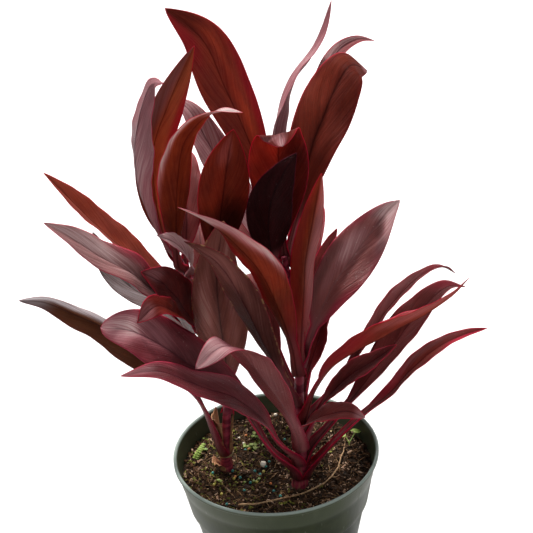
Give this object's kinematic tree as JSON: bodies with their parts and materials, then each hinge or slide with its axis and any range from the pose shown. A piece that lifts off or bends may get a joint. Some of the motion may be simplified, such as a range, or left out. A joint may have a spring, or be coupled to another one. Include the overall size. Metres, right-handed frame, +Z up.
{
  "type": "potted plant",
  "caption": "Potted ti plant: two leaning canes with long burgundy leaves, standing in potting mix in a round tapered nursery pot.",
  "frame": {"origin": "middle of the pot's underside, which stands on z = 0", "axes": "+Z up along the canes, -Y towards the side seen in the picture, +X to the right as seen there"},
  "size_m": [0.3354, 0.244, 0.4675],
  "materials": {
    "pot_green": "satin",
    "potting_mix": "matte",
    "cane_bark": "satin",
    "twig_brown": "matte",
    "weed_green": "satin",
    "leaf_burgundy": "satin"
  },
  "bodies": {
    "root": {"pot": "pot_green", "soil": "potting_mix", "cane_left": "cane_bark", "cane_right": "cane_bark", "twig": "twig_brown", "weed_clover": "weed_green", "weed_fern": "weed_green", "leaf_right_01": "leaf_burgundy", "leaf_right_02": "leaf_burgundy", "leaf_right_03": "leaf_burgundy", "leaf_right_04": "leaf_burgundy", "leaf_right_05": "leaf_burgundy", "leaf_right_06": "leaf_burgundy", "leaf_right_07": "leaf_burgundy", "leaf_right_08": "leaf_burgundy", "leaf_right_09": "leaf_burgundy", "leaf_right_10": "leaf_burgundy", "leaf_right_11": "leaf_burgundy", "leaf_right_12": "leaf_burgundy", "leaf_right_13": "leaf_burgundy", "leaf_right_14": "leaf_burgundy", "leaf_right_15": "leaf_burgundy", "leaf_right_16": "leaf_burgundy", "leaf_right_17": "leaf_burgundy", "leaf_right_18": "leaf_burgundy", "leaf_right_19": "leaf_burgundy", "leaf_right_20": "leaf_burgundy", "leaf_right_21": "leaf_burgundy", "leaf_right_22": "leaf_burgundy", "leaf_right_23": "leaf_burgundy", "leaf_right_24": "leaf_burgundy", "leaf_right_25": "leaf_burgundy", "leaf_right_26": "leaf_burgundy", "leaf_right_27": "leaf_burgundy", "leaf_right_28": "leaf_burgundy", "leaf_left_01": "leaf_burgundy", "leaf_left_02": "leaf_burgundy", "leaf_left_03": "leaf_burgundy", "leaf_left_04": "leaf_burgundy", "leaf_left_05": "leaf_burgundy", "leaf_left_06": "leaf_burgundy", "leaf_left_07": "leaf_burgundy", "leaf_left_08": "leaf_burgundy", "leaf_left_09": "leaf_burgundy", "leaf_left_10": "leaf_burgundy", "leaf_left_11": "leaf_burgundy", "leaf_left_12": "leaf_burgundy", "leaf_left_13": "leaf_burgundy", "leaf_left_14": "leaf_burgundy", "leaf_left_15": "leaf_burgundy"}
  },
  "joints": []
}
